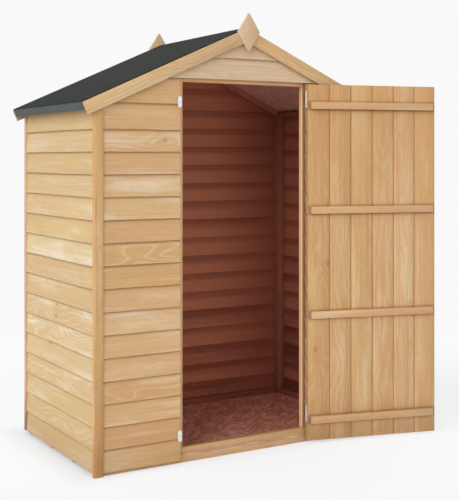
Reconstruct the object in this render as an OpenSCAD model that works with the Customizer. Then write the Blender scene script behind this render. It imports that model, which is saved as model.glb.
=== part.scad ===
// Small overlap-clad apex garden shed with a single ledged door, standing open.
// X runs to the right along the front, Y to the back and Z up, in millimetres.
// The origin is on the ground, in the middle of the front floor bearer's underside.

/* [Walls] */
// Width over the corner trims
wall_w = 1480; // [1300:10:1800]
// Depth over the corner trims
wall_d = 844; // [760:2:1400]
// Side of the square framing battens
batten = 28; // [22:1:36]
// Thickness of one cladding board
board_t = 8; // [7:0.5:11]
// Height that one cladding board shows
course_h = 95.7; // [85:0.1:110]
// Height that a board hides of the one below it
board_lap = 14; // [8:1:20]
// Lowest cladding edge above the ground
cladding_z = 15; // [6:1:22]
// Width of a corner trim
trim_w = 42; // [34:1:60]
// How far a corner trim stands proud of the boards' lower edges
trim_reveal = 4; // [2:0.5:8]
// Foot of a front corner trim above the ground
trim_z = 2; // [2:1:10]

/* [Floor] */
// Width of a floor bearer
bearer_w = 42; // [34:1:60]
// Height of a floor bearer
bearer_h = 28; // [24:1:50]
// Thickness of the floor sheet
floor_t = 10; // [8:1:18]

/* [Roof] */
// Height of the ridge
ridge_z = 1917; // [1860:1:2100]
// Slope of the roof in degrees
roof_pitch = 24; // [20:0.5:28]
// Reach of the roof past the corner trims at the eaves
eaves_reach = 56; // [50:1:120]
// Thickness of the roofing felt
felt_t = 2; // [1.5:0.5:4]
// Thickness of a roof sheet
sheet_t = 9; // [7:1:18]
// Width of a bargeboard, square to the slope
barge_w = 56; // [48:1:75]
// Drop from the felt to the top of a bargeboard, square to the slope
barge_drop = 5; // [2:0.5:8]
// Thickness of a bargeboard
barge_t = 14; // [12:1:18]
// Width of a diamond finial
finial_w = 115; // [90:1:140]
// Height of a diamond finial
finial_h = 176; // [140:1:200]
// Thickness of a diamond finial
finial_t = 12; // [9:1:16]
// Drop from the ridge to the middle of a finial
finial_drop = 24; // [15:1:40]
// Hairline left where a sloping cut seats on another piece
hairline = 0.1; // [0.1:0.05:0.3]

/* [Doorway] */
// Clear width between the door posts
doorway_w = 636; // [560:2:700]
// Shift of the doorway to the right of the shed's middle
doorway_shift = 3; // [-10:1:10]
// Drop from the ridge to the underside of the door header
head_drop = 255; // [250:1:340]
// Open gap round the edges of the closed door
edge_gap = 6; // [5:0.5:10]

/* [Door] */
// Angle that the door stands open
door_open = 165; // [90:1:165]
// Thickness of the door boards
leaf_t = 11; // [9:0.5:12]
// Number of door boards
leaf_boards = 6; // [4:1:8]
// Joint between two door boards
leaf_joint = 1.5; // [1:0.5:3]
// Foot of the door above the ground
leaf_z = 12; // [8:1:25]
// Lap of the door over the hinge post
hinge_lap = 5; // [4:1:16]
// Lap of the door over the closing post
latch_lap = 10; // [2:1:12]
// Lap of the door over the header
head_lap = 10; // [6:1:12]
// Number of ledges across the door
ledges = 4; // [3:1:5]
// Height of a ledge
ledge_h = 33; // [28:1:70]
// Thickness of a ledge
ledge_t = 20; // [14:1:24]
// Distance from the end of the door to the middle of the outer ledge
ledge_end = 98; // [90:1:160]

/* [Ironmongery] */
// Height of a butt hinge
hinge_h = 80; // [60:1:100]
// Width of a hinge leaf from the pin
hinge_leaf_w = 27; // [20:1:36]
// Thickness of a hinge leaf
hinge_t = 2; // [1.5:0.1:2.5]
// Diameter of a hinge knuckle
knuckle_d = 6.4; // [5.6:0.1:7]
// Diameter of a hinge pin
pin_d = 3; // [2:0.1:3.6]
// Distance from the foot of the door to the middle of the lower hinge
hinge_low = 125; // [100:1:220]
// Distance from the head of the door to the middle of the upper hinge
hinge_high = 70; // [60:1:160]
// Width of a turn button
button_w = 18; // [16:1:22]
// Length of a turn button
button_h = 49; // [44:1:60]
// Thickness of a turn button
button_t = 2.5; // [2:0.5:4]
// Gap between a turn button and the face of the closed door
button_gap = 5; // [5:0.5:8]
// Distance from the foot of the door to the lower turn button
button_low = 112; // [90:1:240]
// Distance from the head of the door to the upper turn button
button_high = 100; // [80:1:180]
// Diameter of a button screw
screw_d = 4; // [3:0.5:5]
// Diameter of the screw's collar and head
screw_head_d = 9; // [8:0.5:12]
// Height of the screw's head
screw_head_h = 1.8; // [1.2:0.1:3]
// Running clearance at pins and screws
play = 0.3; // [0.2:0.05:0.4]

/* [Hidden] */
$fn = 48;

// Wall planes
half_w = wall_w / 2;
trim_t = 2 * board_t + trim_reveal;
front_y = -(trim_t + bearer_w / 2);
back_y = front_y + wall_d;
frame_front_y = front_y + trim_t;
frame_back_y = back_y - trim_t;
frame_x = half_w - trim_t;
trim_x = half_w - trim_w;

// Levels
floor_z = bearer_h + floor_t;
rail_z = floor_z + batten;

// Places of the bearers, as shares of the depth between the first and the last
bearer_shares = [0, 0.3, 0.65, 1];

// Roof layers, as depths square to the slope
sheet_top = felt_t;
sheet_under = sheet_top + sheet_t;
rest_under = sheet_under + hairline;
rail_under = rest_under + batten;
post_under = rail_under + hairline;
roof_x = half_w + eaves_reach;
side_top = roof_z(rest_under, frame_x + 2 * board_t);

// Door leaf when shut, and its hinge line
door_left = doorway_shift - doorway_w / 2;
door_right = doorway_shift + doorway_w / 2;
leaf_right = door_right + hinge_lap;
leaf_left = door_left - latch_lap;
doorway_top = ridge_z - head_drop;
leaf_top = doorway_top + head_lap;
leaf_face_y = frame_front_y - 2 * board_t;
leaf_back_y = leaf_face_y + leaf_t;
hinge_x = leaf_right + edge_gap / 2;
hinge_y = leaf_face_y - knuckle_d / 2;
hinge_heights = [leaf_z + hinge_low, leaf_top - hinge_high];

// Cladding edges round the doorway
clad_left = leaf_left - edge_gap;
clad_right = leaf_right + edge_gap;
gable_z = leaf_top + edge_gap;

// Turn buttons
button_x = clad_left - button_w / 2;
button_y = leaf_face_y - button_gap;
button_upper_z = leaf_top - button_high;
button_lower_z = leaf_z + button_low;

// Lower edges of the courses, with the top of the last
front_edges = split_courses(cladding_z, gable_z);
gable_edges = even_courses(gable_z, roof_z(rest_under, 0));
back_edges = concat(shared_courses(cladding_z, gable_z), [for (k = [1:len(gable_edges) - 1]) gable_edges[k]]);

// Height of the plane at a depth below the roof's surface
function roof_z(depth, x) = ridge_z - abs(x) * tan(roof_pitch) - depth / cos(roof_pitch);

// Point at a reach past the right eaves end and a depth below the roof's surface
function eaves_point(reach, depth) = [
    roof_x + reach * cos(roof_pitch) - depth * sin(roof_pitch),
    roof_z(0, roof_x) - reach * sin(roof_pitch) - depth * cos(roof_pitch)
];

// Even courses up a wall, the last one cut short by the roof
function even_courses(low, high) =
    let (full = floor((high - low - board_lap) / course_h))
    concat([for (k = [0:full]) low + k * course_h], [high]);

// Even courses, with the last two sharing what is left
function split_courses(low, high) =
    let (even = floor((high - low) / course_h) - 2, left = low + even * course_h)
    concat([for (k = [0:even]) low + k * course_h], [(left + high) / 2, high]);

// Even courses between a first and a last one that share what is left
function shared_courses(low, high) =
    let (even = floor((high - low) / course_h) - 2, first = (high - low - even * course_h) / 2)
    concat([low], [for (k = [0:even]) low + first + k * course_h], [high]);

// Section through lapped boards, as depth out of the frame against height
function lapped_section(edges) =
    let (last = len(edges) - 2, rise = [for (k = [0:last]) edges[k + 1] - edges[k]])
    concat(
        [for (k = [0:last]) each [
            [2 * board_t, edges[k]],
            [board_t + board_t * board_lap / (rise[k] + board_lap), edges[k + 1]]
        ]],
        [[board_t * board_lap / (rise[last] + board_lap), edges[last + 1]]],
        [for (k = [last:-1:1]) each [
            [board_t * rise[k] / (rise[k] + board_lap), edges[k] + board_lap],
            [0, edges[k] + board_lap]
        ]],
        [[board_t, edges[0]]]
    );

// How far the front boards stand out of the frame at a height
function board_depth(z) =
    let (k = max([for (i = [0:len(front_edges) - 2]) if (front_edges[i] <= z) i]))
    2 * board_t - board_t * (z - front_edges[k]) / (front_edges[k + 1] - front_edges[k] + board_lap);

// Deepest board face under a round seat at a height
function seat_depth(z, radius) =
    len([for (edge = front_edges) if (abs(edge - z) < radius) edge]) > 0
        ? 2 * board_t
        : board_depth(z - radius);

// A square-edged piece between two corners
module block(low, high) {
    translate(low)
        cube(high - low);
}

// An outline of X against Z, drawn out along Y
module along_y(y0, y1) {
    translate([0, y1, 0])
        rotate([90, 0, 0])
            linear_extrude(y1 - y0)
                children();
}

// An outline of Y against Z, drawn out along X
module along_x(x0, x1) {
    translate([x0, 0, 0])
        rotate([90, 0, 90])
            linear_extrude(x1 - x0)
                children();
}

// The space under the roof, down to a depth square to its slopes
module below_roof(depth, y0, y1) {
    along_y(y0, y1)
        polygon([
            [-half_w, 0], [half_w, 0], [half_w, roof_z(depth, half_w)],
            [0, roof_z(depth, 0)], [-half_w, roof_z(depth, half_w)]
        ]);
}

// An upright between two X places, cut to the slope of the roof
module upright(x0, x1, y0, y1, foot, depth) {
    intersection() {
        block([x0, y0, foot], [x1, y1, ridge_z]);
        below_roof(depth, y0, y1);
    }
}

// Lapped boards on the front, between two X places and cut to the roof
module front_boards(x0, x1, edges) {
    intersection() {
        along_x(x0, x1)
            polygon([for (p = lapped_section(edges)) [frame_front_y - p[0], p[1]]]);
        below_roof(rest_under, front_y, frame_front_y);
    }
}

// Lapped boards on the right side wall
module side_boards() {
    along_y(frame_front_y, frame_back_y)
        polygon([for (p = lapped_section(even_courses(cladding_z, side_top))) [frame_x + p[0], p[1]]]);
}

// Two end posts of the right side wall
module side_posts() {
    y0 = frame_front_y + batten;
    y1 = frame_back_y - batten;
    for (y = [y0, y1 - batten])
        block([frame_x - batten, y, rail_z], [frame_x, y + batten, side_top - batten]);
}

// Bottom and top rail of the right side wall
module side_rails() {
    for (z = [floor_z, side_top - batten])
        block([frame_x - batten, frame_front_y + batten, z],
              [frame_x, frame_back_y - batten, z + batten]);
}

// Sloping batten of a gable, on the right
module gable_rail(y0) {
    along_y(y0, y0 + batten)
        polygon([
            [0, roof_z(rest_under, 0)], [frame_x, roof_z(rest_under, frame_x)],
            [frame_x, roof_z(rail_under, frame_x)], [0, roof_z(rail_under, 0)]
        ]);
}

// Roof sheet on the right slope, cut plumb at the ridge and square at the eaves
module roof_sheet() {
    along_y(front_y + felt_t, back_y - felt_t)
        polygon([
            [0, roof_z(sheet_top, 0)], eaves_point(-felt_t, sheet_top),
            eaves_point(-felt_t, sheet_under), [0, roof_z(sheet_under, 0)]
        ]);
}

// Batten under the right roof sheet, along its eaves edge
module eaves_batten() {
    along_y(front_y, back_y)
        polygon([
            eaves_point(-felt_t, rest_under), eaves_point(-felt_t, rail_under),
            eaves_point(-felt_t - batten, rail_under), eaves_point(-felt_t - batten, rest_under)
        ]);
}

// Felt over the right slope, folded down over the eaves batten and over both ends of the sheet
module roof_felt() {
    along_y(front_y, back_y)
        polygon([
            [0, roof_z(0, 0)], eaves_point(0, 0), eaves_point(0, rail_under),
            eaves_point(-felt_t, rail_under), eaves_point(-felt_t, sheet_top), [0, roof_z(sheet_top, 0)]
        ]);
    for (y = [front_y, back_y - felt_t])
        along_y(y, y + felt_t)
            polygon([
                [0, roof_z(0, 0)], eaves_point(0, 0),
                eaves_point(0, sheet_under), [0, roof_z(sheet_under, 0)]
            ]);
}

// Bargeboard on the right slope, below the felt's edge, cut plumb at the ridge and square at the eaves
module bargeboard(y0) {
    foot = barge_drop + barge_w;
    along_y(y0, y0 + barge_t)
        polygon([
            [0, roof_z(barge_drop, 0)], eaves_point(0, barge_drop),
            eaves_point(0, foot), [0, roof_z(foot, 0)]
        ]);
}

// Diamond over the joint of two bargeboards
module finial(y0) {
    middle = ridge_z - finial_drop;
    along_y(y0, y0 + finial_t)
        polygon([
            [0, middle + finial_h / 2], [finial_w / 2, middle],
            [0, middle - finial_h / 2], [-finial_w / 2, middle]
        ]);
}

// Corner trim on the right, from its foot to the roof sheet
module corner_trim(y0, foot) {
    upright(trim_x, half_w, y0, y0 + trim_t, foot, rest_under);
}

// The door's pieces, swung from shut to where the door stands
module swung() {
    translate([hinge_x, hinge_y, 0])
        rotate([0, 0, door_open])
            translate([-hinge_x, -hinge_y, 0])
                children();
}

// Flat leaf of a hinge, on one side of the pin, with the tabs to its own knuckles
module hinge_leaf(side, z, tabs) {
    inner = knuckle_d / 2 + play;
    low = side > 0 ? inner : -hinge_leaf_w;
    high = side > 0 ? hinge_leaf_w : -inner;
    face = knuckle_d / 2;
    block([low, face - hinge_t, z - hinge_h / 2], [high, face, z + hinge_h / 2]);
    for (tab = tabs)
        block([min(0, side * inner), face - hinge_t, tab[0]], [max(0, side * inner), face, tab[1]]);
}

// A knuckle round the pin between two heights
module knuckle(span) {
    translate([0, 0, span[0]])
        cylinder(d = knuckle_d, h = span[1] - span[0]);
}

// Heights of the three knuckles of a hinge, from the bottom up
function knuckle_spans(z) =
    let (third = hinge_h / 3, foot = z - hinge_h / 2)
    [for (k = [0:2]) [foot + k * third + (k > 0 ? play : 0), foot + (k + 1) * third]];

// Frame half of a hinge: a leaf, the outer knuckles and the pin fixed in them
module hinge_frame_half(z) {
    spans = knuckle_spans(z);
    hinge_leaf(1, z, [spans[0], spans[2]]);
    knuckle(spans[0]);
    knuckle(spans[2]);
    translate([0, 0, z - hinge_h / 2])
        cylinder(d = pin_d, h = hinge_h);
}

// Door half of a hinge: a leaf and the middle knuckle, bored for the pin
module hinge_door_half(z) {
    span = [knuckle_spans(z)[1][0], knuckle_spans(z)[1][1] - play];
    difference() {
        union() {
            hinge_leaf(-1, z, [span]);
            knuckle(span);
        }
        translate([0, 0, z - hinge_h / 2])
            cylinder(d = pin_d + 2 * play, h = hinge_h);
    }
}

// A round piece on the axis of a turn button, between two Y places
module round_along_y(d, y0, y1) {
    translate([0, y1, 0])
        rotate([90, 0, 0])
            cylinder(d = d, h = y1 - y0);
}

// Screw of a turn button, with the collar that holds the button off the boards
module button_screw(z) {
    seat = frame_front_y - seat_depth(z, screw_head_d / 2);
    head = button_y - button_t - play;
    translate([button_x, 0, z]) {
        round_along_y(screw_head_d, button_y + play, seat);
        round_along_y(screw_d, head - screw_head_h, seat);
        round_along_y(screw_head_d, head - screw_head_h, head);
    }
}

// Turn button, upright, with round ends and a bore for its screw
module turn_button(z) {
    end = (button_h - button_w) / 2;
    translate([button_x, 0, z])
        difference() {
            union() {
                block([-button_w / 2, button_y - button_t, -end], [button_w / 2, button_y, end]);
                for (side = [-1, 1])
                    translate([0, 0, side * end])
                        round_along_y(button_w, button_y - button_t, button_y);
            }
            round_along_y(screw_d + 2 * play, button_y - button_t - play, button_y + play);
        }
}

// Floor

module floor_bearers() {
    run = frame_back_y - frame_front_y - bearer_w;
    color("peru")
        for (share = bearer_shares)
            block([-frame_x, frame_front_y + share * run, 0],
                  [frame_x, frame_front_y + share * run + bearer_w, bearer_h]);
}

module floor_sheet() {
    color("tan")
        block([-frame_x, frame_front_y, bearer_h], [frame_x, frame_back_y, floor_z]);
}

// Cladding

module right_cladding() {
    color("burlywood")
        side_boards();
}

module left_cladding() {
    color("burlywood")
        mirror([1, 0, 0])
            side_boards();
}

module back_cladding() {
    color("burlywood")
        intersection() {
            along_x(-trim_x, trim_x)
                polygon([for (p = lapped_section(back_edges)) [frame_back_y + p[0], p[1]]]);
            below_roof(rest_under, frame_back_y, back_y);
        }
}

module front_left_cladding() {
    color("burlywood")
        front_boards(-trim_x, clad_left, front_edges);
}

module front_right_cladding() {
    color("burlywood")
        front_boards(clad_right, trim_x, front_edges);
}

module front_gable_cladding() {
    color("burlywood")
        front_boards(-trim_x, trim_x, gable_edges);
}

// Wall frames

module right_wall_posts() {
    color("sienna")
        side_posts();
}

module left_wall_posts() {
    color("sienna")
        mirror([1, 0, 0])
            side_posts();
}

module right_wall_rails() {
    color("sienna")
        side_rails();
}

module left_wall_rails() {
    color("sienna")
        mirror([1, 0, 0])
            side_rails();
}

module back_wall_posts() {
    y0 = frame_back_y - batten;
    color("sienna") {
        upright(-frame_x, batten - frame_x, y0, frame_back_y, floor_z, post_under);
        upright(-batten / 2, batten / 2, y0, frame_back_y, rail_z, post_under);
        upright(frame_x - batten, frame_x, y0, frame_back_y, floor_z, post_under);
    }
}

module back_wall_rail() {
    color("sienna")
        block([batten - frame_x, frame_back_y - batten, floor_z], [frame_x - batten, frame_back_y, rail_z]);
}

module back_gable_rail_right() {
    color("sienna")
        gable_rail(frame_back_y - batten);
}

module back_gable_rail_left() {
    color("sienna")
        mirror([1, 0, 0])
            gable_rail(frame_back_y - batten);
}

module front_corner_posts() {
    y1 = frame_front_y + batten;
    color("sienna") {
        upright(-frame_x, batten - frame_x, frame_front_y, y1, floor_z, post_under);
        upright(frame_x - batten, frame_x, frame_front_y, y1, floor_z, post_under);
    }
}

module door_posts() {
    y1 = frame_front_y + batten;
    color("peru") {
        upright(door_left - batten, door_left, frame_front_y, y1, rail_z, post_under);
        upright(door_right, door_right + batten, frame_front_y, y1, rail_z, post_under);
    }
}

module door_sill() {
    color("peru")
        block([batten - frame_x, frame_front_y, floor_z], [frame_x - batten, frame_front_y + batten, rail_z]);
}

module door_header() {
    color("peru")
        block([door_left, frame_front_y, doorway_top], [door_right, frame_front_y + batten, doorway_top + batten]);
}

module front_gable_rail_right() {
    color("sienna")
        gable_rail(frame_front_y);
}

module front_gable_rail_left() {
    color("sienna")
        mirror([1, 0, 0])
            gable_rail(frame_front_y);
}

// Roof

module roof_sheet_right() {
    color("tan")
        roof_sheet();
}

module roof_sheet_left() {
    color("tan")
        mirror([1, 0, 0])
            roof_sheet();
}

module eaves_batten_right() {
    color("sienna")
        eaves_batten();
}

module eaves_batten_left() {
    color("sienna")
        mirror([1, 0, 0])
            eaves_batten();
}

module roof_felt_right() {
    color("darkslategray")
        roof_felt();
}

module roof_felt_left() {
    color("darkslategray")
        mirror([1, 0, 0])
            roof_felt();
}

module front_bargeboard_right() {
    color("burlywood")
        bargeboard(front_y - barge_t);
}

module front_bargeboard_left() {
    color("burlywood")
        mirror([1, 0, 0])
            bargeboard(front_y - barge_t);
}

module back_bargeboard_right() {
    color("burlywood")
        bargeboard(back_y);
}

module back_bargeboard_left() {
    color("burlywood")
        mirror([1, 0, 0])
            bargeboard(back_y);
}

module front_finial() {
    color("burlywood")
        finial(front_y - barge_t - finial_t);
}

module back_finial() {
    color("burlywood")
        finial(back_y + barge_t);
}

// Corner trims

module front_trim_right() {
    color("peru")
        corner_trim(front_y, trim_z);
}

module front_trim_left() {
    color("peru")
        mirror([1, 0, 0])
            corner_trim(front_y, trim_z);
}

module back_trim_right() {
    color("peru")
        corner_trim(frame_back_y, cladding_z);
}

module back_trim_left() {
    color("peru")
        mirror([1, 0, 0])
            corner_trim(frame_back_y, cladding_z);
}

// Door

module door_boards() {
    pitch = (leaf_right - leaf_left + leaf_joint) / leaf_boards;
    color("burlywood")
        swung()
            for (k = [0:leaf_boards - 1])
                block([leaf_left + k * pitch, leaf_face_y, leaf_z],
                      [leaf_left + (k + 1) * pitch - leaf_joint, leaf_back_y, leaf_top]);
}

module door_ledges() {
    low = leaf_z + ledge_end;
    step = (leaf_top - ledge_end - low) / (ledges - 1);
    color("burlywood")
        swung()
            for (k = [0:ledges - 1])
                block([door_left + edge_gap, leaf_back_y, low + k * step - ledge_h / 2],
                      [door_right - edge_gap, leaf_back_y + ledge_t, low + k * step + ledge_h / 2]);
}

module hinge_frame_leaves() {
    color("gainsboro")
        translate([hinge_x, hinge_y, 0])
            for (z = hinge_heights)
                hinge_frame_half(z);
}

module hinge_door_leaves() {
    color("gainsboro")
        swung()
            translate([hinge_x, hinge_y, 0])
                for (z = hinge_heights)
                    hinge_door_half(z);
}

// Turn buttons

module button_screws() {
    color("gainsboro")
        for (z = [button_lower_z, button_upper_z])
            button_screw(z);
}

module turn_button_upper() {
    color("gainsboro")
        turn_button(button_upper_z);
}

module turn_button_lower() {
    color("gainsboro")
        turn_button(button_lower_z);
}

floor_bearers();
floor_sheet();
left_cladding();
right_cladding();
back_cladding();
front_left_cladding();
front_right_cladding();
front_gable_cladding();
left_wall_posts();
left_wall_rails();
right_wall_posts();
right_wall_rails();
back_wall_posts();
back_wall_rail();
back_gable_rail_left();
back_gable_rail_right();
front_corner_posts();
door_posts();
door_sill();
door_header();
front_gable_rail_left();
front_gable_rail_right();
roof_sheet_left();
roof_sheet_right();
eaves_batten_left();
eaves_batten_right();
roof_felt_left();
roof_felt_right();
front_bargeboard_left();
front_bargeboard_right();
back_bargeboard_left();
back_bargeboard_right();
front_finial();
back_finial();
front_trim_left();
front_trim_right();
back_trim_left();
back_trim_right();
hinge_frame_leaves();
button_screws();
door_boards();
door_ledges();
hinge_door_leaves();
turn_button_upper();
turn_button_lower();
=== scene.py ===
"""Looks of a small wooden garden shed: lapped boards, felt roof and a ledged door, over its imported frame."""

import logging
import math
import random
from dataclasses import dataclass, field, replace
from enum import Enum
from typing import Any, Callable, Optional, Sequence, Union

import bpy
import numpy as np
from mathutils import Matrix, Vector


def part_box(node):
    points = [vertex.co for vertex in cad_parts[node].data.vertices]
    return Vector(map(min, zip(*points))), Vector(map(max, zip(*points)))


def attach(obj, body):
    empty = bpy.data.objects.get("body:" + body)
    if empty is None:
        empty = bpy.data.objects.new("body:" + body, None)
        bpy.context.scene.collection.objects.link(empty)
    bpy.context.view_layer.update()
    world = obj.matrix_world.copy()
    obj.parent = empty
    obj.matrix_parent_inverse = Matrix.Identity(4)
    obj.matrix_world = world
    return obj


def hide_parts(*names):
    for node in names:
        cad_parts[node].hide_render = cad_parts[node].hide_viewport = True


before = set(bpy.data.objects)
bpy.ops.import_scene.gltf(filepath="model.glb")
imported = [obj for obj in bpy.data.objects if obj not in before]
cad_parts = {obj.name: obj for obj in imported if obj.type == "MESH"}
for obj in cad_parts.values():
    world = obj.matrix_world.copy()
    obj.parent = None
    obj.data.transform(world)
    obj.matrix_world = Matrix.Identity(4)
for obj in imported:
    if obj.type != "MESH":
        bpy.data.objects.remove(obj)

LOG = logging.getLogger("shed")
MM = 0.001
SIDE, BACK, UP = Vector((1.0, 0.0, 0.0)), Vector((0.0, 1.0, 0.0)), Vector((0.0, 0.0, 1.0))
PITCH = math.radians(24)
# Half width, front and rear of the room
ROOM = (0.7195, -0.0205, 0.7825)
# Lean of a normal from which a face looks that way
FACING = 0.5
Colour = tuple[float, float, float, float]
Indoors = Callable[[np.ndarray, np.ndarray], np.ndarray]


def shade(red: int, green: int, blue: int) -> Colour:
    """Turns a screen colour into the linear colour that a shader takes.

    Args:
        red: Red on the screen, 0 to 255.
        green: Green on the screen, 0 to 255.
        blue: Blue on the screen, 0 to 255.

    Returns:
        The linear colour with full alpha.
    """
    linear = []
    for part in (red, green, blue):
        share = part / 255.0
        linear.append(share / 12.92 if share <= 0.04045 else ((share + 0.055) / 1.055) ** 2.4)
    return (linear[0], linear[1], linear[2], 1.0)


class Body(Enum):
    """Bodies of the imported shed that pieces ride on."""

    SHED = "shed"
    DOOR = "door"


class Exposure(Enum):
    """What a face shows, as the wood finishes read it: painted shade and dark joints below outside, a painted
    highlight just above it, and the room from indoors up; above indoors it looks deeper into the room.
    """

    SHADED = -1.0
    HALF_SHADE_AND_JOINTS = -0.5
    OUTSIDE = 0.0
    PAINTED_HIGHLIGHT = 0.15
    INDOORS = 0.5


class Value:
    """One shader output, with arithmetic that adds its Math nodes."""

    def __init__(self, painter: "Painter", node: bpy.types.Node, output: Union[int, str]) -> None:
        """Keeps the node and the output that this value reads."""
        self.painter, self.node, self.output = painter, node, output

    @property
    def socket(self) -> bpy.types.NodeSocket:
        """Gives the output's socket."""
        return self.node.outputs[self.output]

    def _math(self, operation: str, left: Any, right: Any = 0.0) -> "Value":
        """Adds one Math node.

        Args:
            operation: The node's operation.
            left: First value.
            right: Second value.

        Returns:
            The node's output.
        """
        return self.painter.node("ShaderNodeMath", {"operation": operation}, {0: left, 1: right})

    def __add__(self, other: Any) -> "Value":
        """Adds a value."""
        return self._math("ADD", self, other)

    def __radd__(self, other: Any) -> "Value":
        """Adds this to a number."""
        return self._math("ADD", other, self)

    def __sub__(self, other: Any) -> "Value":
        """Takes a value away."""
        return self._math("SUBTRACT", self, other)

    def __rsub__(self, other: Any) -> "Value":
        """Takes this away from a number."""
        return self._math("SUBTRACT", other, self)

    def __mul__(self, other: Any) -> "Value":
        """Multiplies by a value."""
        return self._math("MULTIPLY", self, other)

    def __rmul__(self, other: Any) -> "Value":
        """Multiplies a number by this."""
        return self._math("MULTIPLY", other, self)

    def __gt__(self, other: Any) -> "Value":
        """Gives one where this is greater."""
        return self._math("GREATER_THAN", self, other)

    def __lt__(self, other: Any) -> "Value":
        """Gives one where this is less."""
        return self._math("LESS_THAN", self, other)

    def __abs__(self) -> "Value":
        """Gives the size without its sign."""
        return self._math("ABSOLUTE", self)

    def most(self, other: Any) -> "Value":
        """Gives the greater of two values."""
        return self._math("MAXIMUM", self, other)

    def wave(self) -> "Value":
        """Gives a sine of whole turns, from 0 to 1."""
        return self._math("SINE", self * math.tau) * 0.5 + 0.5

    def smooth(self, low: float, high: float) -> "Value":
        """Steps smoothly from 0 to 1 between two levels.

        Args:
            low: Level that gives 0.
            high: Level that gives 1; below low it turns the step round.

        Returns:
            The stepped value.
        """
        return self.painter.node("ShaderNodeMapRange", {"interpolation_type": "SMOOTHSTEP"},
                                 {"Value": self, "From Min": low, "From Max": high})

    def other(self, output: Union[int, str]) -> "Value":
        """Reads another output of the same node."""
        return Value(self.painter, self.node, output)


class Painter:
    """Builds one node tree, node by node."""

    def __init__(self, tree: bpy.types.NodeTree) -> None:
        """Empties the tree that it will fill."""
        self.tree = tree
        tree.nodes.clear()

    @classmethod
    def material(cls, name: str) -> tuple["Painter", bpy.types.Material]:
        """Starts a new material.

        Args:
            name: The material's name.

        Returns:
            The painter of its tree, and the material.
        """
        made = bpy.data.materials.new(name)
        made.use_nodes = True
        return cls(made.node_tree), made

    def node(self, kind: str, settings: Optional[dict[str, Any]] = None,
             inputs: Optional[dict[Union[int, str], Any]] = None, output: Union[int, str] = 0) -> Value:
        """Adds a node, sets it and feeds it.

        Args:
            kind: The node's type.
            settings: Its settings, set first.
            inputs: Numbers, colours or links of its sockets.
            output: The output that the result reads.

        Returns:
            The chosen output.
        """
        node = self.tree.nodes.new(kind)
        for key, setting in (settings or {}).items():
            setattr(node, key, setting)
        for key, given in (inputs or {}).items():
            if isinstance(given, Value):
                self.tree.links.new(given.socket, node.inputs[key])
            else:
                node.inputs[key].default_value = given
        return Value(self, node, output)

    def vector(self, along: Any, across: Any, deep: Any = 0.0) -> Value:
        """Joins three values into one vector."""
        return self.node("ShaderNodeCombineXYZ", None, {0: along, 1: across, 2: deep})

    def parts(self, vector: Value) -> tuple[Value, Value, Value]:
        """Splits a vector into its three values."""
        split = self.node("ShaderNodeSeparateXYZ", None, {0: vector})
        return split, split.other(1), split.other(2)

    def place(self) -> tuple[Value, Value, Value]:
        """Gives the point's place on the object."""
        return self.parts(self.node("ShaderNodeTexCoord", None, None, "Object"))

    def scaled(self, scale: float) -> Value:
        """Gives the point's place on the object to a scale."""
        return self.vector(*(part * scale for part in self.place()))

    def attribute(self, name: str, output: str = "Fac") -> Value:
        """Reads an attribute of the mesh."""
        return self.node("ShaderNodeAttribute", {"attribute_name": name}, None, output)

    def seen(self) -> Value:
        """Gives one where the camera looks, straight, by a mirror or through glass."""
        rays = self.node("ShaderNodeLightPath", None, None, "Is Camera Ray")
        return rays + rays.other("Is Glossy Ray") + rays.other("Is Transmission Ray")

    def noise(self, vector: Value, detail: float = 2.0, roughness: float = 0.5) -> Value:
        """Gives soft noise from 0 to 1.

        Args:
            vector: Where it is read, already to scale.
            detail: How many finer layers it has.
            roughness: How strong the finer layers are.

        Returns:
            The noise.
        """
        return self.node("ShaderNodeTexNoise", None,
                         {"Vector": vector, "Scale": 1.0, "Detail": detail, "Roughness": roughness})

    def cells(self, vector: Value, flat: bool = True) -> Value:
        """Gives the distance to the nearest of scattered points; its Color is random for each.

        Args:
            vector: Where it is read, already to scale.
            flat: Scatter in the plane of the first two values.

        Returns:
            The distance.
        """
        return self.node("ShaderNodeTexVoronoi", {"voronoi_dimensions": "2D" if flat else "3D"},
                         {"Vector": vector, "Scale": 1.0}, "Distance")

    def mix(self, factor: Any, first: Any, second: Any) -> Value:
        """Mixes two colours.

        Args:
            factor: Share of the second colour.
            first: Colour at 0.
            second: Colour at 1.

        Returns:
            The mixed colour.
        """
        return self.node("ShaderNodeMix", {"data_type": "RGBA"}, {0: factor, 6: first, 7: second}, 2)

    def coats(self, colour: Any, layers: Sequence[tuple[Any, Colour]]) -> Any:
        """Lays coats of colour one over the other.

        Args:
            colour: The lowest colour.
            layers: Share and colour of each coat, lowest first.

        Returns:
            The colour that shows.
        """
        for share, coat in layers:
            colour = self.mix(share, colour, coat)
        return colour

    def surface(self, colour: Value, roughness: Any, relief: Value, depth: float, strength: float,
                metal: float = 0.0, gloss: float = 0.3) -> None:
        """Ends a material in one Principled shader.

        Args:
            colour: Base colour.
            roughness: Roughness.
            relief: Height of the fine relief, 0 to 1.
            depth: Depth of the relief in metres.
            strength: Strength of the relief.
            metal: How metallic it is.
            gloss: Level of its reflections.
        """
        bump = self.node("ShaderNodeBump", None, {"Height": relief, "Distance": depth, "Strength": strength})
        shader = self.node("ShaderNodeBsdfPrincipled", None,
                           {"Base Color": colour, "Roughness": roughness, "Metallic": metal,
                            "Specular IOR Level": gloss, "Normal": bump})
        self.node("ShaderNodeOutputMaterial", None, {"Surface": shader})


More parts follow.
